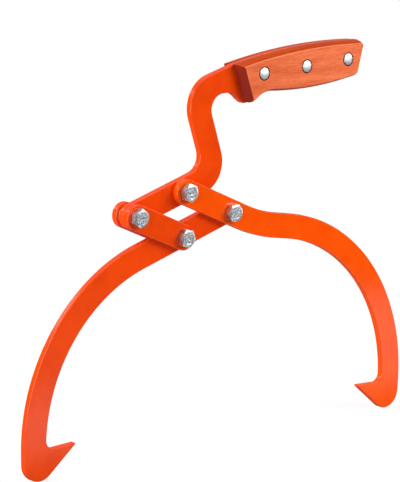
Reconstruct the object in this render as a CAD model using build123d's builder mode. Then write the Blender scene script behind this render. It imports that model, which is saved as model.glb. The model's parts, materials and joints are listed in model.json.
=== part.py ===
"""Log tongs: two hooked claws and a pair of straps on four bolts, hung from a bent bar with a wooden grip.

The bars stand in the XZ plane with +Z up and -Y towards the bolt heads. The origin is the middle of the
grip, where the hand carries the load. The four pivots make a rhombus, so lifting the grip draws the
claws together.
"""

from build123d import *
import math
import os

# Steel plate that every bar is cut from
plate = 5.5
bar_width = 20.0
edge_round = 0.8
running_gap = 0.3

# Pivot rhombus: the lower right pivot joins the two claws
pivot_pitch = 50.0
claw_pivot = Vector(-71.5, -109.5)
right_root_fall = 24.0
left_root_fall = 17.0

# Left claw, from its root at the claw pivot
left_straight = 88.8
claw_bend = 140.0
left_sweep = 74.0

# Right claw, from its root at the upper pivot
right_straight = 62.6
right_kick = 15.0
kick_bend = 140.0
right_waist = 14.8
right_sweep = 83.6

# Hook at the foot of each claw
hook_reach = 28.5
hook_rise = 1.3
hook_slope = 40.0
hook_throat_round = 7.0
hook_heel_round = 14.0
hook_point_round = 0.7

# Handle bar: neck and shoulder above the upper pivot
neck_foot = 35.3
neck_lean = 18.5
neck_inner_round = 13.0
neck_outer_round = 24.0
shoulder = Vector(-117.5, -9.4)
shoulder_round = 25.8
throat_level = -16.9
throat_front = Vector(-69.0, throat_level)
throat_round = 12.0
throat_lip_round = 12.0

# Grip outline, shared by the tang and both scales
grip_nose = Vector(-68.0, 5.0)
grip_crown = Vector(0.0, 15.2)
grip_tail = Vector(64.9, 16.6)
grip_heel = Vector(57.5, -11.4)
grip_belly = Vector(10.0, -17.8)
grip_scoop = Vector(-40.5, -17.2)
guard_tip = Vector(-56.2, -27.5)
scale_tail_round = 4.0
scale_guard_round = 4.0
tang_tail_round = 1.0
tang_guard_round = 6.0
heel_round = 4.5
scoop_round = 25.0

# Wooden scales: flat outer face, rim rounded over by an arc
scale_thickness = 10.0
rim_inset = 2.9
rim_depth = 8.0
rim_steps = 3
face_edge_round = 0.5

# Rivets through the grip
rivet_pitch = 44.7
rivet_line_rise = 3.5
rivet_shank = 6.0
rivet_head = 9.0
rivet_head_depth = 2.2
rivet_dome = 0.6
rivet_flat = 3.0
rivet_rim_gap = 0.25
rivet_clearance = 0.05

# M8 hexagon bolts, thin nuts and spacers
bolt_diameter = 8.0
bolt_clearance = 0.05
short_bolt = 16.0
long_bolt = 25.0
hex_flats = 13.0
hex_chamfer = 1.25
hex_chamfer_angle = 30.0
head_height = 5.3
bolt_end_chamfer = 1.0
nut_height = 4.0
nut_chamfer = 0.9
spacer_diameter = 16.0
spacer_thickness = 2.6
spacer_chamfer = 0.3

# Turn of each bolt head about its own axis, and of every nut
upper_turn = 40.0
left_turn = 25.0
lower_turn = 48.0
right_turn = 0.0
nut_turn = 30.0


def polar(length, angle):
    """Return the vector of a length at an angle above the X axis."""
    return Vector(length, 0).rotate(Axis.Z, angle)


def front_plane(depth, centre=Vector(0, 0)):
    """Return the plane that faces the bolt heads, depth in front of the tang's middle."""
    return Plane(origin=(centre.X, -depth, centre.Y), x_dir=(1, 0, 0), z_dir=(0, -1, 0))


def turning_plane(pivot):
    """Return the plane for a turned profile: X is the radius from a pivot's axis and Y runs along it."""
    return Plane(origin=(pivot.X, 0, pivot.Y))


def pivot_axis(pivot):
    """Return the axis of a pivot, from the bolt heads backwards."""
    return Axis((pivot.X, 0, pivot.Y), (0, 1, 0))


def crossing(point, angle, other_point, other_angle):
    """Return where two lines cross, each given by a point and an angle."""
    along = polar(1, angle)
    other = polar(1, other_angle)
    gap = other_point - point
    reach = (gap.X * other.Y - gap.Y * other.X) / (along.X * other.Y - along.Y * other.X)
    return point + along * reach


def round_corner(sketch, corner, radius):
    """Round the vertex of a sketch that lies nearest to a corner."""
    fillet(sketch.vertices().sort_by_distance((corner.X, corner.Y))[0], radius=radius)


def soften(part):
    """Round both rims of a plate, as paint and tumbling leave them."""
    faces = part.faces().filter_by(Axis.Y).sort_by(Axis.Y)
    rims = faces[0].outer_wire().edges() + faces[-1].outer_wire().edges()
    fillet(rims, radius=edge_round)


# Pivots of the rhombus, and the depth of each layer's front face
upper_pivot = claw_pivot + polar(pivot_pitch, 180 - right_root_fall)
lower_pivot = claw_pivot + polar(pivot_pitch, 180 + left_root_fall)
left_pivot = upper_pivot + lower_pivot - claw_pivot
middle_face = plate / 2
front_back_face = middle_face + running_gap
front_face = front_back_face + plate
spacer_face = -middle_face - running_gap
back_face = spacer_face - spacer_thickness
rear_face = back_face - plate
hole_radius = bolt_diameter / 2 + bolt_clearance
half_width = bar_width / 2
grip_face = middle_face + scale_thickness
hex_corner = hex_flats / math.sqrt(3)
hex_land = hex_corner - hex_chamfer / math.tan(math.radians(hex_chamfer_angle))
rivet_middle = Vector(0, 0)
rivet_places = [rivet_middle + polar(step * rivet_pitch, rivet_line_rise) for step in (-1, 0, 1)]


def bar_face(path):
    """Fill a bar of the plate's width with round ends along a path."""
    make_face(path.wires()[0].offset_2d(half_width).edges())


def hook_face(path, inward):
    """Fill the hook at the end of a path, a barb over a slanted foot, and return its corners."""
    foot = path @ 1
    down = path % 1
    beside = down.rotate(Axis.Z, inward * 90) * half_width
    throat = foot + beside
    tip = throat + Vector(inward * hook_reach, hook_rise)
    heel = crossing(foot - beside, down.get_signed_angle(Vector(1, 0)), tip, inward * hook_slope)
    with BuildLine() as outline:
        Polyline(throat, tip, heel, foot - beside, close=True)
    make_face(outline.edges())
    return tip, throat, heel


def round_hook(sketch, corners):
    """Round the point, the throat and the heel of a hook."""
    tip, throat, heel = corners
    round_corner(sketch, heel, hook_heel_round)
    round_corner(sketch, throat, hook_throat_round)
    round_corner(sketch, tip, hook_point_round)


def bolt_holes(*pivots):
    """Cut a running hole at each pivot."""
    with Locations(*pivots):
        Circle(hole_radius, mode=Mode.SUBTRACT)


def round_grip(sketch, tail_round, guard_round):
    """Round the tail, the heel, the finger scoop and the guard of the grip's outline."""
    round_corner(sketch, grip_tail, tail_round)
    round_corner(sketch, grip_heel, heel_round)
    round_corner(sketch, grip_scoop, scoop_round)
    round_corner(sketch, guard_tip, guard_round)


# Grip outline: arched back, slanted tail, full belly, finger scoop and guard
with BuildLine() as grip_outline:
    ThreePointArc(grip_nose, grip_crown, grip_tail)
    Line(grip_tail, grip_heel)
    ThreePointArc(grip_heel, grip_belly, grip_scoop)
    Polyline(grip_scoop, guard_tip, grip_nose)

# Handle bar: strap end, elbow, leaning neck, shoulder and full tang in one plate
rise = left_root_fall
lean = 90 + neck_lean
above = polar(half_width, rise + 90)
beside = polar(half_width, lean + 90)
neck_point = upper_pivot + polar(neck_foot, rise)
inner_elbow = crossing(left_pivot + above, rise, neck_point + beside, lean)
outer_elbow = crossing(left_pivot - above, rise, neck_point - beside, lean)
throat = crossing(neck_point - beside, lean, throat_front, 0)

with BuildPart() as handle_bar:
    with BuildSketch(front_plane(-middle_face)) as outline:
        with BuildLine():
            Polyline(left_pivot + above, inner_elbow, shoulder, grip_nose, guard_tip, throat_front, throat,
                     outer_elbow, left_pivot - above)
            RadiusArc(left_pivot - above, left_pivot + above, half_width)
        make_face()
        make_face(grip_outline.edges())
        round_corner(outline, inner_elbow, neck_inner_round)
        round_corner(outline, shoulder, shoulder_round)
        round_corner(outline, throat, throat_round)
        round_corner(outline, throat_front, throat_lip_round)
        round_corner(outline, outer_elbow, neck_outer_round)
        round_grip(outline, tang_tail_round, tang_guard_round)
        bolt_holes(left_pivot, upper_pivot)
        with Locations(*rivet_places):
            Circle(rivet_shank / 2 + rivet_clearance, mode=Mode.SUBTRACT)
    extrude(amount=plate)
    soften(handle_bar)
handle_bar.part.label = "handle_bar"

# Left claw: straight past the strap's pivot, then one long bend down to the hook
with BuildLine() as left_path:
    left_root = Line(claw_pivot, claw_pivot + polar(left_straight, 180 + left_root_fall))
    left_bend = JernArc(left_root @ 1, left_root % 1, claw_bend, left_sweep)

with BuildPart() as left_claw:
    with BuildSketch(front_plane(-middle_face)) as outline:
        bar_face(left_path)
        corners = hook_face(left_bend, 1)
        round_hook(outline, corners)
        bolt_holes(claw_pivot, lower_pivot)
    extrude(amount=plate)
    soften(left_claw)
left_claw.part.label = "left_claw"

# Right claw: over the claw pivot, a kick upwards, then the same long bend down to the hook
with BuildLine() as right_path:
    right_root = Line(upper_pivot, upper_pivot + polar(right_straight, -right_root_fall))
    right_lift = JernArc(right_root @ 1, right_root % 1, kick_bend, right_kick)
    right_run = Line(right_lift @ 1, right_lift @ 1 + right_lift % 1 * right_waist)
    right_bend = JernArc(right_run @ 1, right_run % 1, claw_bend, -right_sweep)

with BuildPart() as right_claw:
    with BuildSketch(front_plane(front_back_face)) as outline:
        bar_face(right_path)
        corners = hook_face(right_bend, -1)
        round_hook(outline, corners)
        bolt_holes(upper_pivot, claw_pivot)
    extrude(amount=plate)
    soften(right_claw)
right_claw.part.label = "right_claw"

# Straps that carry the left claw: one in front of the middle plates and one behind
with BuildLine() as strap_path:
    Line(left_pivot, lower_pivot)

with BuildPart() as front_link:
    with BuildSketch(front_plane(front_back_face)):
        bar_face(strap_path)
        bolt_holes(left_pivot, lower_pivot)
    extrude(amount=plate)
    soften(front_link)
front_link.part.label = "front_link"

with BuildPart() as back_link:
    with BuildSketch(front_plane(rear_face)):
        bar_face(strap_path)
        bolt_holes(left_pivot, lower_pivot)
    extrude(amount=plate)
    soften(back_link)
back_link.part.label = "back_link"


def rim_reach(depth):
    """Return how far the rounded rim stands in from the grip's outline, at a depth from the tang."""
    radius = (rim_inset**2 + rim_depth**2) / (2 * rim_inset)
    rounded = depth - (scale_thickness - rim_depth)
    return radius - math.sqrt(radius**2 - rounded**2)


# Front scale: a straight wall at the tang, then sections that shrink along the rim's arc
with BuildPart() as front_scale:
    with BuildSketch(front_plane(middle_face)) as outline:
        make_face(grip_outline.edges())
        round_grip(outline, scale_tail_round, scale_guard_round)
    extrude(amount=scale_thickness - rim_depth)
    for step in range(rim_steps + 1):
        depth = scale_thickness - rim_depth + rim_depth * step / rim_steps
        with BuildSketch(front_plane(middle_face + depth)) as outline:
            make_face(grip_outline.edges())
            round_grip(outline, scale_tail_round, scale_guard_round)
            if step:
                offset(amount=-rim_reach(depth), mode=Mode.REPLACE)
    loft()
    fillet(front_scale.faces().sort_by(Axis.Y)[0].edges(), radius=face_edge_round)
    with BuildSketch(front_plane(grip_face)):
        with Locations(*rivet_places):
            Circle(rivet_head / 2 + rivet_rim_gap)
    extrude(amount=-rivet_head_depth, mode=Mode.SUBTRACT)
    with BuildSketch(front_plane(middle_face)):
        with Locations(*rivet_places):
            Circle(rivet_shank / 2 + rivet_clearance)
    extrude(amount=scale_thickness, mode=Mode.SUBTRACT)
front_scale.part.label = "front_scale"

# Back scale: the front one mirrored through the tang
with BuildPart() as back_scale:
    mirror(front_scale.part, about=Plane.XZ)
back_scale.part.label = "back_scale"


def rivet(name, place):
    """Turn a rivet through tang and scales, with a domed head in each counterbore."""
    seat = grip_face - rivet_head_depth
    top = grip_face + rivet_dome
    shank = rivet_shank / 2
    head = rivet_head / 2
    flat = rivet_flat / 2
    dome_radius = head**2 / (2 * rivet_dome)
    with BuildPart() as body:
        with BuildSketch(turning_plane(place)):
            with BuildLine():
                Polyline((flat, -top), (0, -top), (0, 0), (shank, 0), (shank, -seat), (head, -seat),
                         (head, -grip_face))
                RadiusArc((head, -grip_face), (flat, -top), dome_radius)
            make_face()
        revolve(axis=pivot_axis(place))
        mirror(about=Plane.XZ)
    body.part.label = name
    return body.part


def hex_bolt(name, pivot, seat, length, turn):
    """Make a bolt whose head bears on the plane at a seat depth and whose shank runs backwards."""
    top = seat + head_height
    end = length - seat
    radius = bolt_diameter / 2
    with BuildPart() as bolt:
        with BuildSketch(turning_plane(pivot)):
            with BuildLine():
                Polyline((0, -seat), (hex_corner, -seat), (hex_corner, hex_chamfer - top), (hex_land, -top),
                         (0, -top), close=True)
            make_face()
        revolve(axis=pivot_axis(pivot))
        with BuildSketch(front_plane(seat, pivot)):
            RegularPolygon(hex_flats / 2, 6, major_radius=False, rotation=turn)
        extrude(amount=head_height, mode=Mode.INTERSECT)
        with BuildSketch(turning_plane(pivot)):
            with BuildLine():
                Polyline((0, -seat), (radius, -seat), (radius, end - bolt_end_chamfer),
                         (radius - bolt_end_chamfer, end), (0, end), close=True)
            make_face()
        revolve(axis=pivot_axis(pivot))
    bolt.part.label = name
    return bolt.part


def thin_nut(name, pivot, face):
    """Make a nut that bears on the plane at a face's depth, its corners chamfered on both sides."""
    base = -face
    top = base + nut_height
    land = hex_corner - nut_chamfer / math.tan(math.radians(hex_chamfer_angle))
    with BuildPart() as nut:
        with BuildSketch(turning_plane(pivot)):
            with BuildLine():
                Polyline((hole_radius, base), (land, base), (hex_corner, base + nut_chamfer),
                         (hex_corner, top - nut_chamfer), (land, top), (hole_radius, top), close=True)
            make_face()
        revolve(axis=pivot_axis(pivot))
        with BuildSketch(front_plane(face, pivot)):
            RegularPolygon(hex_flats / 2, 6, major_radius=False, rotation=nut_turn)
        extrude(amount=-nut_height, mode=Mode.INTERSECT)
    nut.part.label = name
    return nut.part


def spacer(name, pivot):
    """Make a flat ring on a bolt, behind the middle plates, with its outer edges broken."""
    with BuildPart() as body:
        with BuildSketch(front_plane(spacer_face, pivot)):
            Circle(spacer_diameter / 2)
            Circle(hole_radius, mode=Mode.SUBTRACT)
        extrude(amount=-spacer_thickness)
        rims = body.edges().filter_by(GeomType.CIRCLE).sort_by(SortBy.RADIUS)[-2:]
        chamfer(rims, length=spacer_chamfer)
    body.part.label = name
    return body.part


pieces = [handle_bar.part, left_claw.part, right_claw.part, front_link.part, back_link.part]
pieces += [front_scale.part, back_scale.part]
for name, place in zip(("front_rivet", "middle_rivet", "rear_rivet"), rivet_places):
    pieces.append(rivet(name, place))

# Bolt stations: pivot, head's seat, bolt length, nut's bearing face and head's turn
stations = {
    "upper": (upper_pivot, front_face + running_gap, short_bolt, -middle_face, upper_turn),
    "left": (left_pivot, front_face, long_bolt, rear_face, left_turn),
    "lower": (lower_pivot, front_face, long_bolt, rear_face, lower_turn),
    "right": (claw_pivot, front_face, short_bolt, spacer_face, right_turn),
}
for station, (pivot, seat, length, nut_face, turn) in stations.items():
    pieces.append(hex_bolt(f"{station}_bolt", pivot, seat, length, turn))
    pieces.append(thin_nut(f"{station}_nut", pivot, nut_face))

# Spacers that hold the back strap off the middle plates
for station, pivot in (("left", left_pivot), ("lower", lower_pivot)):
    pieces.append(spacer(f"{station}_spacer", pivot))

os.makedirs("parts", exist_ok=True)
for piece in pieces:
    export_step(piece, f"parts/{piece.label}.step")
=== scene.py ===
# %% [markdown]
# # Log tongs: powder coated plates, an oiled grip and zinc plated bolts
#
# The tongs arrive as a fixed frame: every plate, scale, bolt and nut is already there at its real
# size, in metres, on the body that it moves with. The lesson dresses that frame. Plates, scales and
# spacers keep their own meshes and get a finish. Bolts, nuts and rivets are made again with
# Geometry Nodes, because they repeat and because close up they need threads, dished heads and domes.

# %% Load the fixed frame and keep its box
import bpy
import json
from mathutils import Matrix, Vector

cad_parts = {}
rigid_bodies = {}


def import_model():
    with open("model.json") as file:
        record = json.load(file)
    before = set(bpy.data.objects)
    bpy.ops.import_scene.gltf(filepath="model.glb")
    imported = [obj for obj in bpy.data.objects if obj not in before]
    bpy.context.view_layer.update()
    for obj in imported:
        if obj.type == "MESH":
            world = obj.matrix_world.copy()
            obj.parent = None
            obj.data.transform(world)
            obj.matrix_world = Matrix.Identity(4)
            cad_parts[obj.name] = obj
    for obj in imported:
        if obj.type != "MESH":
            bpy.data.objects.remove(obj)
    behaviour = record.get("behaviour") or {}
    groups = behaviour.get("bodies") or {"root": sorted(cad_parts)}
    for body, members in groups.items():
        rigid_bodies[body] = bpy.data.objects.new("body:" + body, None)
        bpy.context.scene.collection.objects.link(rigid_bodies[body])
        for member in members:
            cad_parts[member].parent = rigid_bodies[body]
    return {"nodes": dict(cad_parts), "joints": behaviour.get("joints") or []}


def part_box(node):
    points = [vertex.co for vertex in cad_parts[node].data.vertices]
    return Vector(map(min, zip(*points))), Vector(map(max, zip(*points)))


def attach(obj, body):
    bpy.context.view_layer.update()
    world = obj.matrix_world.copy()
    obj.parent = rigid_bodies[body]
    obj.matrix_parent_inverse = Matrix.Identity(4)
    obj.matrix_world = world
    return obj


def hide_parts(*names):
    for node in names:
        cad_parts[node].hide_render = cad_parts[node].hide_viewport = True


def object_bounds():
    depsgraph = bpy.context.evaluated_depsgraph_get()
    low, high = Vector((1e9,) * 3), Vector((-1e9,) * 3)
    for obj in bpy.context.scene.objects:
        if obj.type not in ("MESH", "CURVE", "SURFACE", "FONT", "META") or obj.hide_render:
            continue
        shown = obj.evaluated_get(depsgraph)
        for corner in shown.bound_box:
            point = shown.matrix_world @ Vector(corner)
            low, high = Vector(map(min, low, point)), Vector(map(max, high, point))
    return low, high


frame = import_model()
cad_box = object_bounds()

# %% [markdown]
# ## Two helpers
#
# Colours are written as the sRGB hex values that a person would pick, and Blender's sockets want
# linear light, so one function turns the first into the second. A second function adds one node,
# sets its properties, and sets or links its inputs, so that a whole finish reads as a short list.

# %% Colour and node helpers
import json
from math import cos, pi, radians, sin, sqrt, tan

import bpy
from mathutils import Matrix, Vector

MM = 0.001


def linear(code):
    """Turn an sRGB hex colour into linear red, green, blue and alpha."""
    levels = [int(code[start:start + 2], 16) / 255 for start in (1, 3, 5)]
    return [v / 12.92 if v <= 0.04045 else ((v + 0.055) / 1.055) ** 2.4 for v in levels] + [1.0]


def add(tree, kind, inputs=None, **settings):
    """Add a node with its settings, and set or link each of the inputs that are named."""
    node = tree.nodes.new(kind)
    for name, value in settings.items():
        setattr(node, name, value)
    for socket, value in (inputs or {}).items():
        listed = value if isinstance(value, (list, tuple)) else [value]
        sources = [source for source in listed if isinstance(source, bpy.types.NodeSocket)]
        for source in sources:
            tree.links.new(source, node.inputs[socket])
        if not sources:
            node.inputs[socket].default_value = value
    return node


def start_material(name):
    """Make an empty node material and return it with its tree."""
    material = bpy.data.materials.new(name)
    material.use_nodes = True
    material.node_tree.nodes.clear()
    return material, material.node_tree


print("white in linear light:", linear("#FFFFFF"))

# %% [markdown]
# ## Orange powder coat
#
# The five plates are cut from steel, sprayed with dry orange powder and baked until it melts. The
# film is a glossy plastic about 0.08 mm thick. It could be one flat orange, but a melted film is
# never quite even: it pulls into a faint orange peel about 1.6 mm across, and it runs a little
# thinner and darker in broad clouds. Both come from noise on Object coordinates, so the pattern
# stays on the plate when a claw swings. The long right claw gets a coat a shade brighter and more
# yellow than the others. This is painted light for the stronger light on its side, so one function
# makes two coats.

# %% Orange powder coat
# The right claw's coat is painted light: brighter and more yellow, for the stronger light on its side.
LIT_CLAW_COAT, LIT_CLAW_COAT_THIN = "#FF5602", "#F84E00"
PLATE_COAT, PLATE_COAT_THIN = "#F64A06", "#E84204"
COAT_CLOUD = 22 * MM
COAT_PEEL = 1.6 * MM
COAT_PEEL_DEPTH, COAT_BUMP = 0.02 * MM, 0.6
COAT_DUST = 0.7 * MM
COAT_CLOUD_SPAN, COAT_DUST_SPAN = (0.35, 0.7), (0.3, 0.8)
COAT_ROUGHNESS = (0.1, 0.17)
COAT_IOR = 1.5


def powder_coat(name, full, thin):
    """Powder coated steel: an even, saturated gloss whose highlights waver slightly."""
    material, tree = start_material(name)
    place = add(tree, "ShaderNodeTexCoord").outputs["Object"]
    cloud = add(tree, "ShaderNodeTexNoise", {"Vector": place, "Scale": 1 / COAT_CLOUD, "Detail": 3.0})
    clouds = add(tree, "ShaderNodeMapRange", {
        "Value": cloud.outputs[0], "From Min": COAT_CLOUD_SPAN[0], "From Max": COAT_CLOUD_SPAN[1]})
    colour = add(tree, "ShaderNodeMix", {0: clouds.outputs[0], 6: linear(full), 7: linear(thin)},
                 data_type="RGBA")
    dust = add(tree, "ShaderNodeTexNoise", {"Vector": place, "Scale": 1 / COAT_DUST, "Detail": 2.0})
    gloss = add(tree, "ShaderNodeMapRange", {
        "Value": dust.outputs[0], "From Min": COAT_DUST_SPAN[0], "From Max": COAT_DUST_SPAN[1],
        "To Min": COAT_ROUGHNESS[0], "To Max": COAT_ROUGHNESS[1]})
    peel = add(tree, "ShaderNodeTexNoise", {"Vector": place, "Scale": 1 / COAT_PEEL, "Detail": 1.0})
    bump = add(tree, "ShaderNodeBump", {"Height": peel.outputs[0], "Distance": COAT_PEEL_DEPTH,
                                        "Strength": COAT_BUMP})
    shader = add(tree, "ShaderNodeBsdfPrincipled", {
        "Base Color": colour.outputs[2], "Roughness": gloss.outputs[0], "IOR": COAT_IOR,
        "Normal": bump.outputs[0]})
    add(tree, "ShaderNodeOutputMaterial", {"Surface": shader.outputs[0]})
    return material


# The right claw's coat carries painted light. The other plates share the plain coat.
painted_lit_claw_coat = powder_coat("powder_coated_steel_painted_lit", LIT_CLAW_COAT, LIT_CLAW_COAT_THIN)
plate_coat = powder_coat("powder_coated_steel", PLATE_COAT, PLATE_COAT_THIN)
print("made", painted_lit_claw_coat.name, "and", plate_coat.name)

# %% [markdown]
# ## Oiled hardwood
#
# Each side of the grip is a scale of reddish hardwood, stained and oiled. Wood could be painted as
# rings around a far centre, but a scale this thin only shows long fibres, so stretched noise does
# it, 12 mm along the grain for every millimetre across. The finish changes over the piece. The flat
# face is paler. The rounded rim is painted deeper, partly as a deeper stain and mostly as painted
# shade, since it turns away from the light. A thin painted highlight runs between the two. Dark
# rings round the rivets are painted shade, for the gap between rivet and wood. The nose is end
# grain, drinks the most stain and is nearly mahogany red. Fibres and pores are drawn wider than
# real ones, so that they show.

# %% Oiled hardwood
WOOD_LIGHT = "#F27E50"
WOOD_DARK = "#DA6036"
# The rim's colours: partly a deeper stain, mostly painted shade, as the rim turns from the light.
RIM_STAIN_AND_SHADE_LIGHT = "#D04C0E"
RIM_STAIN_AND_SHADE_DARK = "#B83A08"
WOOD_END_GRAIN = "#8C2719"
WOOD_PORE = "#8E3A22"
# A painted highlight along the rounded edge of the face.
WOOD_EDGE_HIGHLIGHT = "#F5A780"
# Painted shade in rings round the rivets, for the gap between rivet and wood.
RIVET_RING_SHADE = "#2A0E08"
RING_INNER, RING_OUTER = 5.3 * MM, 5.8 * MM
FIBRE_LENGTH, FIBRE_WIDTH = 11 * MM, 0.9 * MM
FIGURE_LENGTH, FIGURE_WIDTH = 70 * MM, 6.0 * MM
PORE_LENGTH, PORE_WIDTH = 5 * MM, 0.55 * MM
GRAIN_SLOPE = radians(-4)
FIBRE_RELIEF, FIBRE_BUMP = 0.03 * MM, 0.5
FACE_MARGIN, RIM_FADE = 0.1 * MM, 1.2 * MM
GRAIN_SPAN, PORE_SPAN = (0.75, 1.25), (0.58, 0.72)
PORE_SHARE, EDGE_HIGHLIGHT_SHARE, RING_SHADE_SHARE = 0.28, 1.2, 0.95
NOSE_FACING = (-0.35, -0.75)
WOOD_ROUGHNESS = (0.5, 0.4)
WOOD_IOR, WOOD_GLOSS = 1.45, 0.12


def oiled_wood(face_depth, rim_depth, rivet_places):
    """Oiled hardwood: long low-contrast fibres, a rim deeper by stain and painted shade, a painted edge
    highlight, painted shade round the rivets and dark end grain at the nose.
    """
    material, tree = start_material("oiled_hardwood")
    where = add(tree, "ShaderNodeTexCoord")
    place = where.outputs["Object"]
    streaks = {}
    for name, length, width, detail in (("fibre", FIBRE_LENGTH, FIBRE_WIDTH, 4.0),
                                        ("figure", FIGURE_LENGTH, FIGURE_WIDTH, 3.0),
                                        ("pore", PORE_LENGTH, PORE_WIDTH, 1.0)):
        turned = add(tree, "ShaderNodeMapping", {"Vector": place, "Rotation": (0, GRAIN_SLOPE, 0),
                                                 "Scale": (1 / length, 1 / width, 1 / width)})
        streaks[name] = add(tree, "ShaderNodeTexNoise", {"Vector": turned.outputs[0], "Scale": 1.0,
                                                         "Detail": detail}).outputs[0]
    both = add(tree, "ShaderNodeMath", {0: streaks["fibre"], 1: streaks["figure"]}, operation="ADD")
    grain = add(tree, "ShaderNodeMapRange", {
        "Value": both.outputs[0], "From Min": GRAIN_SPAN[0], "From Max": GRAIN_SPAN[1]}).outputs[0]
    depth = add(tree, "ShaderNodeSeparateXYZ", {"Vector": place})
    away = add(tree, "ShaderNodeMath", {0: depth.outputs["Y"]}, operation="ABSOLUTE")
    rim = add(tree, "ShaderNodeMapRange", {"Value": away.outputs[0], "From Min": face_depth,
                                           "From Max": rim_depth}).outputs[0]
    face_colour = add(tree, "ShaderNodeMix", {0: grain, 6: linear(WOOD_DARK), 7: linear(WOOD_LIGHT)},
                      data_type="RGBA")
    # The rim is painted deeper: partly stain, mostly painted shade.
    rim_stain_and_shade = add(tree, "ShaderNodeMix", {0: grain, 6: linear(RIM_STAIN_AND_SHADE_DARK),
                                             7: linear(RIM_STAIN_AND_SHADE_LIGHT)}, data_type="RGBA")
    side = add(tree, "ShaderNodeMix", {0: rim, 6: face_colour.outputs[2], 7: rim_stain_and_shade.outputs[2]},
               data_type="RGBA")
    # A thin painted highlight where the face turns into the rim.
    edge = add(tree, "ShaderNodeMath", {0: rim, 1: 0.5}, operation="PINGPONG")
    edge_highlight = add(tree, "ShaderNodeMath", {0: edge.outputs[0], 1: EDGE_HIGHLIGHT_SHARE},
               operation="MULTIPLY").outputs[0]
    highlighted = add(tree, "ShaderNodeMix", {0: edge_highlight, 6: side.outputs[2], 7: linear(WOOD_EDGE_HIGHLIGHT)},
                data_type="RGBA")
    pores = add(tree, "ShaderNodeMapRange", {
        "Value": streaks["pore"], "From Min": PORE_SPAN[0], "From Max": PORE_SPAN[1],
        "To Max": PORE_SHARE}).outputs[0]
    pored = add(tree, "ShaderNodeMix", {0: pores, 6: highlighted.outputs[2], 7: linear(WOOD_PORE)},
                data_type="RGBA")
    # Rings of painted shade round the rivets.
    nearest = RING_OUTER
    for rivet_place in rivet_places:
        around = add(tree, "ShaderNodeCombineXYZ", {"X": depth.outputs["X"], "Z": depth.outputs["Z"]})
        reach = add(tree, "ShaderNodeVectorMath", {0: around.outputs[0], 1: rivet_place},
                    operation="DISTANCE")
        nearest = add(tree, "ShaderNodeMath", {0: reach.outputs["Value"], 1: nearest},
                      operation="MINIMUM").outputs[0]
    ring_shade = add(tree, "ShaderNodeMapRange", {"Value": nearest, "From Min": RING_OUTER,
                                            "From Max": RING_INNER, "To Max": RING_SHADE_SHARE}).outputs[0]
    ring_shaded = add(tree, "ShaderNodeMix", {0: ring_shade, 6: pored.outputs[2], 7: linear(RIVET_RING_SHADE)},
                 data_type="RGBA")
    facing = add(tree, "ShaderNodeSeparateXYZ", {"Vector": where.outputs["Normal"]})
    nose = add(tree, "ShaderNodeMapRange", {
        "Value": facing.outputs["X"], "From Min": NOSE_FACING[0], "From Max": NOSE_FACING[1]}).outputs[0]
    colour = add(tree, "ShaderNodeMix", {0: nose, 6: ring_shaded.outputs[2], 7: linear(WOOD_END_GRAIN)},
                 data_type="RGBA")
    polish = add(tree, "ShaderNodeMath", {0: rim, 1: nose}, operation="SUBTRACT")
    sheen = add(tree, "ShaderNodeMapRange", {
        "Value": polish.outputs[0], "To Min": WOOD_ROUGHNESS[0], "To Max": WOOD_ROUGHNESS[1]})
    bump = add(tree, "ShaderNodeBump", {"Height": streaks["fibre"], "Distance": FIBRE_RELIEF,
                                        "Strength": FIBRE_BUMP})
    shader = add(tree, "ShaderNodeBsdfPrincipled", {
        "Base Color": colour.outputs[2], "Roughness": sheen.outputs[0], "IOR": WOOD_IOR,
        "Specular IOR Level": WOOD_GLOSS, "Normal": bump.outputs[0]})
    add(tree, "ShaderNodeOutputMaterial", {"Surface": shader.outputs[0]})
    return material


rivet_nodes = ["front_rivet", "middle_rivet", "rear_rivet"]
rivet_boxes = [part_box(node) for node in rivet_nodes]
rivet_places = [((low.x + high.x) / 2, 0, (low.z + high.z) / 2) for low, high in rivet_boxes]
face_depth = -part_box("front_scale")[0].y - FACE_MARGIN
hardwood = oiled_wood(face_depth, face_depth - RIM_FADE, rivet_places)
print("made", hardwood.name, "with its face", round(face_depth / MM, 2), "mm from the middle plane")

# %% [markdown]
# ## Zinc plated steel and polished aluminium
#
# The bolts, nuts and spacers are zinc plated: a thin bright metal skin that grows in small
# crystals, so a flat face looks mottled, not like a mirror. Real crystals are too fine to show here,
# so they are drawn 2.6 mm wide. The rivets are aluminium, pressed and then polished with the grip to
# a satin, so they are paler and more even. Metals take their look from what they reflect, so colour
# matters little here. What matters is how rough they are, and that the roughness is not the same
# everywhere.

# %% Zinc plated steel and polished aluminium
ZINC_LIGHT, ZINC_DARK = "#FCFDFE", "#9098A3"
ZINC_CRYSTAL = 2.6 * MM
ZINC_RELIEF = 0.18 * MM
ZINC_ROUGHNESS = (0.28, 0.5)
ALUMINIUM_LIGHT, ALUMINIUM_DARK = "#D8D8D7", "#C2C3C6"
ALUMINIUM_SCUFF = 1.2 * MM
ALUMINIUM_RELIEF = 0.006 * MM
ALUMINIUM_ROUGHNESS = (0.42, 0.55)
PATCH_SPAN, PATCH_BUMP = (0.35, 0.65), 0.6


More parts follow.
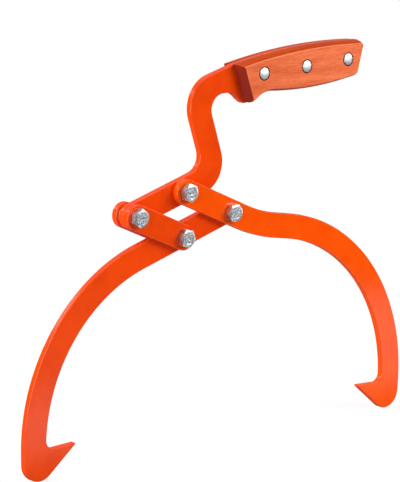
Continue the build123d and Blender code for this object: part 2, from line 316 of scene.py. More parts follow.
def mottled_metal(name, light, dark, blotch, relief, smooth, rough):
    """Bare metal whose tint, gloss and surface vary in blotches: soft grey patches, bright edges."""
    material, tree = start_material(name)
    place = add(tree, "ShaderNodeTexCoord").outputs["Object"]
    patch = add(tree, "ShaderNodeTexNoise", {"Vector": place, "Scale": 1 / blotch, "Detail": 3.0})
    patches = add(tree, "ShaderNodeMapRange", {
        "Value": patch.outputs[0], "From Min": PATCH_SPAN[0], "From Max": PATCH_SPAN[1]}).outputs[0]
    colour = add(tree, "ShaderNodeMix", {0: patches, 6: linear(light), 7: linear(dark)}, data_type="RGBA")
    gloss = add(tree, "ShaderNodeMapRange", {"Value": patches, "To Min": smooth, "To Max": rough})
    bump = add(tree, "ShaderNodeBump", {"Height": patch.outputs[0], "Distance": relief,
                                        "Strength": PATCH_BUMP})
    shader = add(tree, "ShaderNodeBsdfPrincipled", {
        "Base Color": colour.outputs[2], "Roughness": gloss.outputs[0], "Metallic": 1.0,
        "Normal": bump.outputs[0]})
    add(tree, "ShaderNodeOutputMaterial", {"Surface": shader.outputs[0]})
    return material


zinc = mottled_metal("zinc_plated_steel", ZINC_LIGHT, ZINC_DARK, ZINC_CRYSTAL, ZINC_RELIEF,
                     *ZINC_ROUGHNESS)
aluminium = mottled_metal("polished_aluminium", ALUMINIUM_LIGHT, ALUMINIUM_DARK, ALUMINIUM_SCUFF,
                          ALUMINIUM_RELIEF, *ALUMINIUM_ROUGHNESS)
print("made", zinc.name, "and", aluminium.name)

# %% [markdown]
# ## Dressing the plates, the scales and the spacers
#
# These shapes are right as they are, so they only change clothes: the mesh's one material slot gets
# the finish listed for it.

# %% Give the kept nodes their finishes
kept_nodes = {
    # The right claw wears the coat with painted light in it.
    "right_claw": painted_lit_claw_coat, "left_claw": plate_coat, "handle_bar": plate_coat,
    "front_link": plate_coat, "back_link": plate_coat,
    "front_scale": hardwood, "back_scale": hardwood,
    "left_spacer": zinc, "lower_spacer": zinc,
}
for name, finish in kept_nodes.items():
    mesh = frame["nodes"][name].data
    mesh.materials.clear()
    mesh.materials.append(finish)
print("dressed", len(kept_nodes), "nodes")

# %% [markdown]
# ## Where the bolts stand
#
# The four pivots are the corners of a rhombus. Three of them are joints of the frame, and the
# fourth closes the parallelogram, so it is worked out from the others. The depth of each bolt and
# nut is read from the box of the node that it stands for.

# %% Pivots
joint_places = {joint["name"]: Vector(joint["pos_m"]) for joint in frame["joints"]}
pivots = {
    "upper": joint_places["right_claw_hinge"],
    "left": joint_places["link_hinge"],
    "lower": joint_places["left_claw_hinge"],
}
pivots["right"] = pivots["upper"] + pivots["lower"] - pivots["left"]
print({name: [round(v / MM, 2) for v in point] for name, point in pivots.items()})

# %% [markdown]
# ## One way in and out for every fastener tree
#
# A bolt, a nut and a rivet differ only in their middle. Each Geometry Nodes tree takes a handful of
# points, some sizes and a finish, makes one fastener, puts a copy on every point, turns it by the
# point's own angles, and ends in Realize Instances and Set Material so that nothing stays an
# instance. The evaluated result becomes a plain mesh, one for each body, and the modifier goes.

# %% Helpers for the fastener trees
SHARP_ANGLE = radians(28)


def start_tree(name, sizes):
    """Make a tree with points, named sizes and a finish coming in, and one mesh going out."""
    tree = bpy.data.node_groups.new(name, "GeometryNodeTree")
    tree.interface.new_socket("Points", in_out="INPUT", socket_type="NodeSocketGeometry")
    for size in sizes:
        tree.interface.new_socket(size, in_out="INPUT", socket_type="NodeSocketFloat")
    tree.interface.new_socket("Finish", in_out="INPUT", socket_type="NodeSocketMaterial")
    tree.interface.new_socket("Mesh", in_out="OUTPUT", socket_type="NodeSocketGeometry")
    return tree, add(tree, "NodeGroupInput").outputs


def end_tree(tree, given, shape):
    """Put the shape on every point at the point's aim, realise it and give it the finish."""
    aim = add(tree, "GeometryNodeInputNamedAttribute", {"Name": "aim"}, data_type="FLOAT_VECTOR")
    turned = add(tree, "FunctionNodeEulerToRotation", {"Euler": aim.outputs[0]})
    placed = add(tree, "GeometryNodeInstanceOnPoints", {
        "Points": given["Points"], "Instance": shape, "Rotation": turned.outputs[0]})
    real = add(tree, "GeometryNodeRealizeInstances", {"Geometry": placed.outputs[0]})
    dressed = add(tree, "GeometryNodeSetMaterial",
                  {"Geometry": real.outputs[0], "Material": given["Finish"]})
    add(tree, "NodeGroupOutput", {"Mesh": dressed.outputs[0]})


def place_fasteners(name, tree, stations, sizes, finish, body, nodes):
    """Run a tree on stations, each a point and its aim, and hand the plain mesh to a body."""
    points = bpy.data.meshes.new(name)
    points.from_pydata([point for point, aim in stations], [], [])
    aims = points.attributes.new("aim", "FLOAT_VECTOR", "POINT")
    for mark, (point, aim) in zip(aims.data, stations):
        mark.vector = aim
    piece = bpy.data.objects.new(name, points)
    bpy.context.scene.collection.objects.link(piece)
    modifier = piece.modifiers.new("fasteners", "NODES")
    modifier.node_group = tree
    values = {**sizes, "Finish": finish}
    for socket in tree.interface.items_tree:
        if socket.in_out == "INPUT" and socket.name in values:
            modifier[socket.identifier] = values[socket.name]
    seen = piece.evaluated_get(bpy.context.evaluated_depsgraph_get())
    mesh = bpy.data.meshes.new_from_object(seen)
    piece.modifiers.clear()
    piece.data = mesh
    mesh.shade_smooth()
    mesh.set_sharp_from_angle(angle=SHARP_ANGLE)
    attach(piece, body)
    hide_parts(*nodes)
    print(name, len(mesh.vertices), "vertices,", len(mesh.polygons), "faces, on", body)


print("fasteners turn sharp past", round(SHARP_ANGLE, 2), "radians")

# %% [markdown]
# ## Hexagon bolts
#
# An M8 bolt is cold headed: a hexagon 13 mm across its flats, turned off at 30 degrees round the
# top so that each corner ends in a curve, slightly dished in the middle, and standing on a thin
# round washer face. A cylinder of six sides cut by a wide cone gives those curves for free, which
# a bevel could not. The thread is one closed cylinder whose points move in and out with a
# triangle wave that climbs one pitch for each turn. The wave only reaches one half, so the tree gets
# twice the thread's depth.

# %% The hexagon bolt tree
FLATS = 13 * MM
CORNER_RADIUS = FLATS / sqrt(3)
CROWN_SLOPE = tan(radians(30))
CROWN_DROP = 1.25 * MM
CROWN_RADIUS = CORNER_RADIUS - CROWN_DROP / CROWN_SLOPE
HEAD_HEIGHT = 5.3 * MM
WASHER_FACE_RADIUS, WASHER_FACE_HEIGHT = 5.9 * MM, 0.35 * MM
DISH_RADIUS, DISH_DEPTH = 4.3 * MM, 0.35 * MM
MARKS, MARK_LENGTH, MARK_WIDTH, MARK_REACH = 3, 2.6 * MM, 1.0 * MM, 2.5 * MM
SHANK_RADIUS = 3.98 * MM
THREAD_PITCH, THREAD_DEPTH, THREAD_LENGTH = 1.25 * MM, 0.6 * MM, 9 * MM
POINT_LENGTH, POINT_RADIUS = 0.9 * MM, 3.2 * MM
ROUND_SIDES, SHANK_RINGS = 72, 160


def bolt_tree():
    """One bolt: its seat at zero, its head above and its shank below."""
    tree, given = start_tree("hexagon_bolt", [
        "Corner Radius", "Crown Radius", "Skirt Radius", "Hex Height", "Washer Radius", "Washer Height",
        "Dish Radius", "Dish Depth", "Dish Level", "Mark Length", "Mark Width", "Mark Reach",
        "Shank Radius", "Shank Length", "Thread Pitch", "Thread Depth", "Thread Length", "Point Length",
        "Point Scale"])
    hexagon = add(tree, "GeometryNodeMeshCone", {
        "Vertices": 6, "Radius Top": given["Corner Radius"], "Radius Bottom": given["Corner Radius"],
        "Depth": given["Hex Height"]})
    crown = add(tree, "GeometryNodeMeshCone", {
        "Vertices": ROUND_SIDES, "Radius Top": given["Crown Radius"],
        "Radius Bottom": given["Skirt Radius"], "Depth": given["Hex Height"]})
    turned = add(tree, "GeometryNodeMeshBoolean", {"Mesh 2": [hexagon.outputs[0], crown.outputs[0]]},
                 operation="INTERSECT", solver="EXACT")
    raised = add(tree, "ShaderNodeCombineXYZ", {"Z": given["Washer Height"]})
    head = add(tree, "GeometryNodeTransform",
               {"Geometry": turned.outputs[0], "Translation": raised.outputs[0]})
    bowl = add(tree, "GeometryNodeMeshCone", {
        "Vertices": ROUND_SIDES, "Radius Top": given["Dish Radius"], "Radius Bottom": given["Shank Radius"],
        "Depth": given["Dish Depth"]})
    bowl_level = add(tree, "ShaderNodeCombineXYZ", {"Z": given["Dish Level"]})
    dish = add(tree, "GeometryNodeTransform",
               {"Geometry": bowl.outputs[0], "Translation": bowl_level.outputs[0]})
    dished = add(tree, "GeometryNodeMeshBoolean", {"Mesh 1": head.outputs[0], "Mesh 2": dish.outputs[0]},
                 operation="DIFFERENCE", solver="EXACT")
    bar_size = add(tree, "ShaderNodeCombineXYZ", {
        "X": given["Mark Length"], "Y": given["Mark Width"], "Z": given["Dish Depth"]})
    bar = add(tree, "GeometryNodeMeshCube", {"Size": bar_size.outputs[0]})
    spread = add(tree, "GeometryNodeMeshCircle", {"Vertices": MARKS, "Radius": given["Mark Reach"]})
    step = add(tree, "ShaderNodeMath", {0: add(tree, "GeometryNodeInputIndex").outputs[0],
                                        1: 2 * pi / MARKS}, operation="MULTIPLY")
    spoke = add(tree, "ShaderNodeCombineXYZ", {"Z": step.outputs[0]})
    spokes = add(tree, "FunctionNodeEulerToRotation", {"Euler": spoke.outputs[0]})
    bars = add(tree, "GeometryNodeInstanceOnPoints", {
        "Points": spread.outputs[0], "Instance": bar.outputs[0], "Rotation": spokes.outputs[0]})
    real_bars = add(tree, "GeometryNodeRealizeInstances", {"Geometry": bars.outputs[0]})
    marks = add(tree, "GeometryNodeTransform",
                {"Geometry": real_bars.outputs[0], "Translation": bowl_level.outputs[0]})
    washer_face = add(tree, "GeometryNodeMeshCone", {
        "Vertices": ROUND_SIDES, "Radius Top": given["Washer Radius"],
        "Radius Bottom": given["Washer Radius"], "Depth": given["Washer Height"]})
    blank = add(tree, "GeometryNodeMeshCone", {
        "Vertices": ROUND_SIDES, "Side Segments": SHANK_RINGS, "Radius Top": given["Shank Radius"],
        "Radius Bottom": given["Shank Radius"], "Depth": given["Shank Length"]})
    at = add(tree, "ShaderNodeSeparateXYZ", {"Vector": add(tree, "GeometryNodeInputPosition").outputs[0]})
    angle = add(tree, "ShaderNodeMath", {0: at.outputs["Y"], 1: at.outputs["X"]}, operation="ARCTAN2")
    turns = add(tree, "ShaderNodeMath", {0: angle.outputs[0], 1: 2 * pi}, operation="DIVIDE")
    climb = add(tree, "ShaderNodeMath", {0: at.outputs["Z"], 1: given["Thread Pitch"]}, operation="DIVIDE")
    phase = add(tree, "ShaderNodeMath", {0: climb.outputs[0], 1: turns.outputs[0]}, operation="SUBTRACT")
    wave = add(tree, "ShaderNodeMath", {0: phase.outputs[0], 1: 0.5}, operation="PINGPONG")
    run_out = add(tree, "ShaderNodeMapRange", {
        "Value": at.outputs["Z"], "From Min": given["Thread Length"], "From Max": 0.0,
        "To Max": given["Thread Depth"]}, interpolation_type="SMOOTHERSTEP")
    cut = add(tree, "ShaderNodeMath", {0: wave.outputs[0], 1: run_out.outputs[0]}, operation="MULTIPLY")
    share = add(tree, "ShaderNodeMath", {0: cut.outputs[0], 1: given["Shank Radius"]}, operation="DIVIDE")
    narrowed = add(tree, "ShaderNodeMath", {0: 1.0, 1: share.outputs[0]}, operation="SUBTRACT")
    point = add(tree, "ShaderNodeMapRange", {
        "Value": at.outputs["Z"], "From Max": given["Point Length"], "To Min": given["Point Scale"]})
    scale = add(tree, "ShaderNodeMath", {0: narrowed.outputs[0], 1: point.outputs[0]}, operation="MINIMUM")
    across = [add(tree, "ShaderNodeMath", {0: at.outputs[axis], 1: scale.outputs[0]},
                  operation="MULTIPLY").outputs[0] for axis in ("X", "Y")]
    moved = add(tree, "ShaderNodeCombineXYZ", {"X": across[0], "Y": across[1], "Z": at.outputs["Z"]})
    threaded = add(tree, "GeometryNodeSetPosition",
                   {"Geometry": blank.outputs[0], "Position": moved.outputs[0]})
    below = add(tree, "ShaderNodeMath", {0: given["Washer Height"], 1: given["Shank Length"]},
                operation="SUBTRACT")
    lowered = add(tree, "ShaderNodeCombineXYZ", {"Z": below.outputs[0]})
    shank = add(tree, "GeometryNodeTransform",
                {"Geometry": threaded.outputs[0], "Translation": lowered.outputs[0]})
    bolt = add(tree, "GeometryNodeMeshBoolean", {
        "Mesh 2": [dished.outputs[0], marks.outputs[0], washer_face.outputs[0], shank.outputs[0]]},
        operation="UNION", solver="EXACT")
    end_tree(tree, given, bolt.outputs[0])
    return tree


hexagon_bolt = bolt_tree()
print("made", hexagon_bolt.name, "with a crown", round(2 * CROWN_RADIUS / MM, 2), "mm across")

# %% [markdown]
# ## Putting the bolts in
#
# Each body has its own object, so the two bolts of the links become one mesh and the other two
# stand alone. The head's top is the lowest Y of the node that the bolt stands for, and its end the
# highest. Hexagons come to rest at any angle when they are tightened, so each has its own turn.

# %% Put the bolts in
HEAD_TURNS = {"upper": 40, "left": 25, "lower": 48, "right": 0}
BOLT_GROUPS = {"handle_bolt": ("handle", ["upper"]), "claw_bolt": ("right_claw", ["right"]),
               "link_bolts": ("link", ["left", "lower"])}
for name, (body, corners) in BOLT_GROUPS.items():
    nodes = [corner + "_bolt" for corner in corners]
    top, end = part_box(nodes[0])[0].y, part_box(nodes[0])[1].y
    seat = top + HEAD_HEIGHT
    stations = [((pivots[corner].x, seat, pivots[corner].z), (radians(90), -radians(HEAD_TURNS[corner]), 0))
                for corner in corners]
    hex_height = HEAD_HEIGHT - WASHER_FACE_HEIGHT
    sizes = {
        "Corner Radius": CORNER_RADIUS, "Crown Radius": CROWN_RADIUS,
        "Skirt Radius": CROWN_RADIUS + hex_height / CROWN_SLOPE, "Hex Height": hex_height,
        "Washer Radius": WASHER_FACE_RADIUS, "Washer Height": WASHER_FACE_HEIGHT,
        "Dish Radius": DISH_RADIUS + 2 * DISH_DEPTH, "Dish Depth": 2 * DISH_DEPTH,
        "Dish Level": HEAD_HEIGHT - DISH_DEPTH, "Mark Length": MARK_LENGTH, "Mark Width": MARK_WIDTH,
        "Mark Reach": MARK_REACH, "Shank Radius": SHANK_RADIUS,
        "Shank Length": end - seat + WASHER_FACE_HEIGHT, "Thread Pitch": THREAD_PITCH,
        "Thread Depth": 2 * THREAD_DEPTH, "Thread Length": THREAD_LENGTH,
        "Point Length": POINT_LENGTH, "Point Scale": POINT_RADIUS / SHANK_RADIUS}
    place_fasteners(name, hexagon_bolt, stations, sizes, zinc, body, nodes)

# %% [markdown]
# ## Thin nuts
#
# Behind the plates sit thin hexagon nuts. They are turned off on both sides, so a hexagon meets two
# cones, one of them upside down, and the hole opens in a countersink on the outer face.

# %% The thin nut tree
NUT_CROWN_DROP = 0.9 * MM
NUT_CROWN_RADIUS = CORNER_RADIUS - NUT_CROWN_DROP / CROWN_SLOPE
BORE_RADIUS = 3.6 * MM
SINK_RADIUS, SINK_DEPTH, SINK_SHARE = 4.4 * MM, 0.8 * MM, 0.9
BORE_LENGTH = 4 * HEAD_HEIGHT


def nut_tree():
    """One nut: its seat at zero and its outer face above."""
    tree, given = start_tree("thin_nut", [
        "Corner Radius", "Crown Radius", "Skirt Radius", "Height", "Bore Radius", "Sink Radius",
        "Sink Level"])
    hexagon = add(tree, "GeometryNodeMeshCone", {
        "Vertices": 6, "Radius Top": given["Corner Radius"], "Radius Bottom": given["Corner Radius"],
        "Depth": given["Height"]})
    upper = add(tree, "GeometryNodeMeshCone", {
        "Vertices": ROUND_SIDES, "Radius Top": given["Crown Radius"],
        "Radius Bottom": given["Skirt Radius"], "Depth": given["Height"]})
    lower = add(tree, "GeometryNodeMeshCone", {
        "Vertices": ROUND_SIDES, "Radius Top": given["Skirt Radius"],
        "Radius Bottom": given["Crown Radius"], "Depth": given["Height"]})
    body = add(tree, "GeometryNodeMeshBoolean", {
        "Mesh 2": [hexagon.outputs[0], upper.outputs[0], lower.outputs[0]]},
        operation="INTERSECT", solver="EXACT")
    bore = add(tree, "GeometryNodeMeshCylinder", {
        "Vertices": ROUND_SIDES, "Radius": given["Bore Radius"], "Depth": BORE_LENGTH})
    funnel = add(tree, "GeometryNodeMeshCone", {
        "Vertices": ROUND_SIDES, "Radius Top": given["Sink Radius"], "Radius Bottom": given["Bore Radius"],
        "Depth": SINK_DEPTH})
    level = add(tree, "ShaderNodeCombineXYZ", {"Z": given["Sink Level"]})
    sink = add(tree, "GeometryNodeTransform",
               {"Geometry": funnel.outputs[0], "Translation": level.outputs[0]})
    nut = add(tree, "GeometryNodeMeshBoolean", {
        "Mesh 1": body.outputs[0], "Mesh 2": [bore.outputs[0], sink.outputs[0]]},
        operation="DIFFERENCE", solver="EXACT")
    end_tree(tree, given, nut.outputs[0])
    return tree


thin_nut = nut_tree()
NUT_TURN = 30
NUT_GROUPS = {"handle_nut": ("handle", ["upper"]), "claw_nut": ("right_claw", ["right"]),
              "link_nuts": ("link", ["left", "lower"])}
for name, (body, corners) in NUT_GROUPS.items():
    nodes = [corner + "_nut" for corner in corners]
    seat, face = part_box(nodes[0])[0].y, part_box(nodes[0])[1].y
    stations = [((pivots[corner].x, seat, pivots[corner].z), (-radians(90), radians(NUT_TURN), 0))
                for corner in corners]
    sizes = {
        "Corner Radius": CORNER_RADIUS, "Crown Radius": NUT_CROWN_RADIUS,
        "Skirt Radius": NUT_CROWN_RADIUS + (face - seat) / CROWN_SLOPE, "Height": face - seat,
        "Bore Radius": BORE_RADIUS, "Sink Radius": SINK_RADIUS,
        "Sink Level": face - seat - SINK_DEPTH * SINK_SHARE}
    place_fasteners(name, thin_nut, stations, sizes, zinc, body, nodes)

# %% [markdown]
# ## Grip rivets
#
# Three rivets hold the scales to the tang. Each is a pin with a wide head at both ends, pressed
# together and polished to a low dome. One closed cylinder with rings on its caps is enough: every
# point's height shrinks with the square of its distance from the axis, which domes both ends, and
# the rings between the heads move in to the pin's own radius.

# %% The rivet tree
RIVET_HEAD_RADIUS, RIVET_PIN_RADIUS = 4.5 * MM, 3.0 * MM
RIVET_HEAD_DEPTH, RIVET_DOME = 2.0 * MM, 0.6 * MM
RIVET_CAP_RINGS, RIVET_SIDE_RINGS = 10, 24


def rivet_tree():
    """One rivet, lying along its axis with its middle at zero."""
    tree, given = start_tree("grip_rivet", ["Head Radius", "Pin Scale", "Pin Half Length", "Length",
                                            "Dome Share"])
    blank = add(tree, "GeometryNodeMeshCylinder", {
        "Vertices": ROUND_SIDES, "Side Segments": RIVET_SIDE_RINGS, "Fill Segments": RIVET_CAP_RINGS,
        "Radius": given["Head Radius"], "Depth": given["Length"]})
    at = add(tree, "ShaderNodeSeparateXYZ", {"Vector": add(tree, "GeometryNodeInputPosition").outputs[0]})
    flat = add(tree, "ShaderNodeCombineXYZ", {"X": at.outputs["X"], "Y": at.outputs["Y"]})
    reach = add(tree, "ShaderNodeVectorMath", {0: flat.outputs[0]}, operation="LENGTH")
    part = add(tree, "ShaderNodeMath", {0: reach.outputs["Value"], 1: given["Head Radius"]},
               operation="DIVIDE")
    square = add(tree, "ShaderNodeMath", {0: part.outputs[0], 1: 2.0}, operation="POWER")
    fall = add(tree, "ShaderNodeMath", {0: square.outputs[0], 1: given["Dome Share"]}, operation="MULTIPLY")
    lift = add(tree, "ShaderNodeMath", {0: 1.0, 1: fall.outputs[0]}, operation="SUBTRACT")
    height = add(tree, "ShaderNodeMath", {0: at.outputs["Z"], 1: lift.outputs[0]}, operation="MULTIPLY")
    distance = add(tree, "ShaderNodeMath", {0: at.outputs["Z"]}, operation="ABSOLUTE")
    between = add(tree, "ShaderNodeMath", {0: distance.outputs[0], 1: given["Pin Half Length"]},
                  operation="LESS_THAN")
    waist = add(tree, "ShaderNodeMapRange", {"Value": between.outputs[0], "To Min": 1.0,
                                             "To Max": given["Pin Scale"]})
    across = [add(tree, "ShaderNodeMath", {0: at.outputs[axis], 1: waist.outputs[0]},
                  operation="MULTIPLY").outputs[0] for axis in ("X", "Y")]
    moved = add(tree, "ShaderNodeCombineXYZ", {"X": across[0], "Y": across[1], "Z": height.outputs[0]})
    rivet = add(tree, "GeometryNodeSetPosition",
                {"Geometry": blank.outputs[0], "Position": moved.outputs[0]})
    end_tree(tree, given, rivet.outputs[0])
    return tree


grip_rivet = rivet_tree()
rivet_length = rivet_boxes[0][1].y - rivet_boxes[0][0].y
stations = [(place, (radians(90), 0, 0)) for place in rivet_places]
place_fasteners("grip_rivets", grip_rivet, stations, {
    "Head Radius": RIVET_HEAD_RADIUS, "Pin Scale": RIVET_PIN_RADIUS / RIVET_HEAD_RADIUS,
    "Pin Half Length": rivet_length / 2 - RIVET_HEAD_DEPTH, "Length": rivet_length,
    "Dome Share": 2 * RIVET_DOME / rivet_length}, aluminium, "handle", rivet_nodes)

# %% [markdown]
# ## A white table and soft light
#
# The tongs stand on a round white table, 0.62 m in radius, in front of a white background. A real
# table would go grey towards its edge, so the eye gets a mixture: mostly plain white, with a little
# shading left in for the shadow, and pure white at the rim where the table meets the background.
# Gloss on the plates comes from here too. It sees one strip of the table as bright: low faces mirror
# that strip and look paler, and high faces mirror the dim room beyond it and look deeper.

# %% Table
TABLE_RADIUS = 0.62
TABLE_GAP = 0.3 * MM
TABLE_SIDES = 96
TABLE_WHITE = "#FAFAFA"
TABLE_BOUNCE = "#B0B0B0"
TABLE_SHINE = 0.08
NEAR_EDGE = (-0.03, -0.1)
FAR_EDGE = (-0.265, -0.175)
FAR_SLANT = 0.28
SHADOW_SHARE = 0.16
PLAIN_FROM, PLAIN_TO = 0.5 * TABLE_RADIUS, 0.97 * TABLE_RADIUS


def table_material():
    """Matt white board: nearly even white, with a soft shadow where the tongs stand."""
    material, tree = start_material("matt_white_board")
    place = add(tree, "ShaderNodeTexCoord").outputs["Object"]
    reach = add(tree, "ShaderNodeVectorMath", {0: place}, operation="LENGTH")
    plain = add(tree, "ShaderNodeMapRange", {
        "Value": reach.outputs["Value"], "From Min": PLAIN_FROM, "From Max": PLAIN_TO,
        "To Min": 1 - SHADOW_SHARE, "To Max": 1.0})
    rays = add(tree, "ShaderNodeLightPath").outputs
    straight = add(tree, "ShaderNodeMath", {0: rays["Is Camera Ray"], 1: rays["Is Glossy Ray"]},
                   operation="MAXIMUM")
    seen = add(tree, "ShaderNodeMath", {0: straight.outputs[0], 1: rays["Is Transmission Ray"]},
               operation="MAXIMUM")
    share = add(tree, "ShaderNodeMath", {0: plain.outputs[0], 1: seen.outputs[0]}, operation="MULTIPLY")
    spot = add(tree, "ShaderNodeSeparateXYZ", {"Vector": place}).outputs
    near = add(tree, "ShaderNodeMapRange", {
        "Value": spot["Y"], "From Min": NEAR_EDGE[0], "From Max": NEAR_EDGE[1]})
    slanted = add(tree, "ShaderNodeMath", {0: spot["X"], 1: FAR_SLANT, 2: spot["Y"]},
                  operation="MULTIPLY_ADD")
    far = add(tree, "ShaderNodeMapRange", {
        "Value": slanted.outputs[0], "From Min": FAR_EDGE[0], "From Max": FAR_EDGE[1]})
    strip = add(tree, "ShaderNodeMath", {0: near.outputs[0], 1: far.outputs[0]}, operation="MULTIPLY")
    shine = add(tree, "ShaderNodeMapRange", {"Value": strip.outputs[0], "To Min": TABLE_SHINE})
    strength = add(tree, "ShaderNodeMix", {0: rays["Is Glossy Ray"], 2: 1.0, 3: shine.outputs[0]})
    tone = add(tree, "ShaderNodeMix", {0: rays["Is Camera Ray"], 6: linear(TABLE_BOUNCE),
                                       7: linear(TABLE_WHITE)}, data_type="RGBA")
    board = add(tree, "ShaderNodeBsdfDiffuse", {"Color": tone.outputs[2]})
    white = add(tree, "ShaderNodeEmission", {"Color": linear("#FFFFFF"), "Strength": strength.outputs[0]})
    mixed = add(tree, "ShaderNodeMixShader", {0: share.outputs[0], 1: board.outputs[0], 2: white.outputs[0]})
    add(tree, "ShaderNodeOutputMaterial", {"Surface": mixed.outputs[0]})
    return material


middle = (cad_box[0] + cad_box[1]) / 2
table_mesh = bpy.data.meshes.new("table")
rim = [(TABLE_RADIUS * cos(2 * pi * i / TABLE_SIDES), TABLE_RADIUS * sin(2 * pi * i / TABLE_SIDES), 0)
       for i in range(TABLE_SIDES)]
table_mesh.from_pydata(rim, [], [range(TABLE_SIDES)])
table_mesh.materials.append(table_material())
table = bpy.data.objects.new("table", table_mesh)
table.location = (middle.x, middle.y, cad_box[0].z - TABLE_GAP)
bpy.context.scene.collection.objects.link(table)
print("table top at", round(table.location.z / MM, 2), "mm")

# %% [markdown]
# ## A bright room with two dim ends
#
# The world is the background and the room at once. The camera sees plain white. Gloss sees bright
# walls between a dim floor and a dim ceiling, with two dim ends. The plates' faces look into the end
# in front on the right and stay deep orange, and edges that face left look into the end behind on the
# left. Upper edges and the chamfers of the bolts look at the bright walls and turn pale. Everything
# else gets a weak even light, and five soft boxes do the rest. The strongest stands in front on the
# right, above the grip. One far on the left grazes the faces and lights the left edges, one hangs
# overhead, one lights the back faces from behind, and one stands low on the far right, just behind
# the plates, for the bolts' rims.
#
# Seen along an edge, paint and varnish mirror almost like metal, and the two strong lamps in front and
# behind would burn those edges out to white. So only a quarter of each of the two is an ordinary lamp.
# The rest is hidden from gloss, and a twin of it is linked to the metal pieces alone, which have
# nothing but gloss. The three hang 10 mm apart, because a mirrored ray meets only one lamp in a plane.

# %% World and lamps
ROOM_LIGHT = 0.1
DIM_SHINE, WALL_SHINE = 0.03, 0.3
DIM_END = (0.64, -0.74, -0.19)
END_EDGE = (0.9, 0.7)
WALL_FOOT = (-0.36, -0.22)
WALL_HEAD = (0.85, 0.6)
LAMPS = {
    "right": ((0.78, -1.05, 0.45), 1.0, 22),
    "left": ((-1.25, -0.06, 0.1), 1.3, 19),
    "overhead": ((-0.1, 0.25, 0.9), 0.8, 4),
    "back": ((-0.4, 1.2, 0.3), 0.8, 14),
    "rim": ((1.15, 0.3, -0.22), 0.8, 5),
}
SPLIT_LAMPS = ("right", "back")
GLOSS_SHARE, SPLIT_STEP = 0.25, 10 * MM
world = bpy.data.worlds.new("white_studio")
world.use_nodes = True
bpy.context.scene.world = world
tree = world.node_tree
tree.nodes.clear()
rays = add(tree, "ShaderNodeLightPath").outputs
aim = add(tree, "ShaderNodeTexCoord").outputs["Generated"]
height = add(tree, "ShaderNodeSeparateXYZ", {"Vector": aim}).outputs["Z"]
along = add(tree, "ShaderNodeVectorMath", {0: aim, 1: DIM_END}, operation="DOT_PRODUCT")
endwards = add(tree, "ShaderNodeMath", {0: along.outputs["Value"]}, operation="ABSOLUTE").outputs[0]
wall = 1.0
for place, (dim, bright) in ((endwards, END_EDGE), (height, WALL_FOOT), (height, WALL_HEAD)):
    edge = add(tree, "ShaderNodeMapRange", {"Value": place, "From Min": dim, "From Max": bright})
    wall = add(tree, "ShaderNodeMath", {0: edge.outputs[0], 1: wall}, operation="MULTIPLY").outputs[0]
shine = add(tree, "ShaderNodeMix", {0: wall, 2: DIM_SHINE, 3: WALL_SHINE})
gloss = add(tree, "ShaderNodeMix", {0: rays["Is Glossy Ray"], 2: ROOM_LIGHT, 3: shine.outputs[0]})
seen = add(tree, "ShaderNodeMath", {0: rays["Is Camera Ray"], 1: rays["Is Transmission Ray"]},
           operation="MAXIMUM")
strength = add(tree, "ShaderNodeMix", {0: seen.outputs[0], 2: gloss.outputs[0], 3: 1.0})
sky = add(tree, "ShaderNodeBackground", {"Color": linear("#FFFFFF"), "Strength": strength.outputs[0]})
add(tree, "ShaderNodeOutputWorld", {"Surface": sky.outputs[0]})


def add_lamp(name, share=1.0, step=0.0):
    """Hang a share of one soft box, moved a step inwards, so that it faces the middle of the tongs."""
    place, size, power = LAMPS[name]
    inwards = middle - Vector(place)
    lamp = bpy.data.lights.new(name, "AREA")
    lamp.size = size
    lamp.energy = power * share
    holder = bpy.data.objects.new(name, lamp)
    holder.location = Vector(place) + inwards.normalized() * step
    holder.rotation_euler = inwards.to_track_quat("-Z", "Y").to_euler()
    bpy.context.scene.collection.objects.link(holder)
    return holder


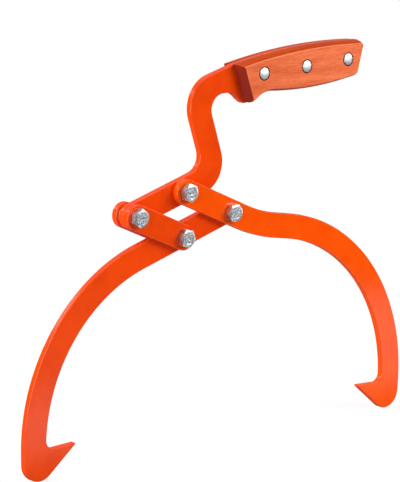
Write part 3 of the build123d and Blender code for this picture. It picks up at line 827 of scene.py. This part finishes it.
metal_pieces = bpy.data.collections.new("metal_pieces")
for piece in bpy.context.scene.objects:
    if piece.type == "MESH" and {zinc, aluminium} & set(piece.data.materials):
        metal_pieces.objects.link(piece)
for name in LAMPS:
    share = GLOSS_SHARE if name in SPLIT_LAMPS else 1.0
    add_lamp(name, share)
    if share < 1.0:
        add_lamp(name, 1 - share, -SPLIT_STEP).visible_glossy = False
        add_lamp(name, 1 - share, SPLIT_STEP).light_linking.receiver_collection = metal_pieces

# %% [markdown]
# ## The camera
#
# A long lens looks at the tongs from the left of their front and from a little above. One point fixes
# the framing: the middle of the right bolt's head, its place in the picture and its scale there.
# Everything else follows from the three angles, so there is no shift and no depth of field.

# %% Camera
PHOTO_WIDTH, PHOTO_HEIGHT = 400, 482
FOCAL_PIXELS = 2318
PIXELS_PER_METRE = 1292
FROM_LEFT, FROM_ABOVE, ROLL = radians(40.41), radians(11.14), radians(0.9)
BOLT_PIXEL = (236.2, 213.25)
BOLT_DEPTH = -13.1 * MM
SENSOR = 36

back = Vector((-sin(FROM_LEFT) * cos(FROM_ABOVE), -cos(FROM_LEFT) * cos(FROM_ABOVE), sin(FROM_ABOVE)))
level = Vector((cos(FROM_LEFT), -sin(FROM_LEFT), 0))
upright = back.cross(level)
right = level * cos(ROLL) + upright * sin(ROLL)
up = upright * cos(ROLL) - level * sin(ROLL)
distance = FOCAL_PIXELS / PIXELS_PER_METRE
aside = (BOLT_PIXEL[0] - PHOTO_WIDTH / 2) / PIXELS_PER_METRE
above = (PHOTO_HEIGHT / 2 - BOLT_PIXEL[1]) / PIXELS_PER_METRE
bolt_head = Vector((pivots["right"].x, BOLT_DEPTH, pivots["right"].z))
eye = bolt_head + back * distance - right * aside - up * above

lens = bpy.data.cameras.new("camera")
lens.sensor_fit = "HORIZONTAL"
lens.sensor_width = SENSOR
lens.lens = FOCAL_PIXELS / PHOTO_WIDTH * SENSOR
camera = bpy.data.objects.new("camera", lens)
camera.matrix_world = Matrix.Translation(eye) @ Matrix((right, up, back)).transposed().to_4x4()
bpy.context.scene.collection.objects.link(camera)
bpy.context.scene.camera = camera
print("camera", [round(v, 3) for v in eye], "lens", round(lens.lens, 1), "mm")

# %% [markdown]
# ## Colours as written
#
# The Standard view transform shows colours as they are written.

# %% View transform
bpy.context.scene.view_settings.view_transform = "Standard"
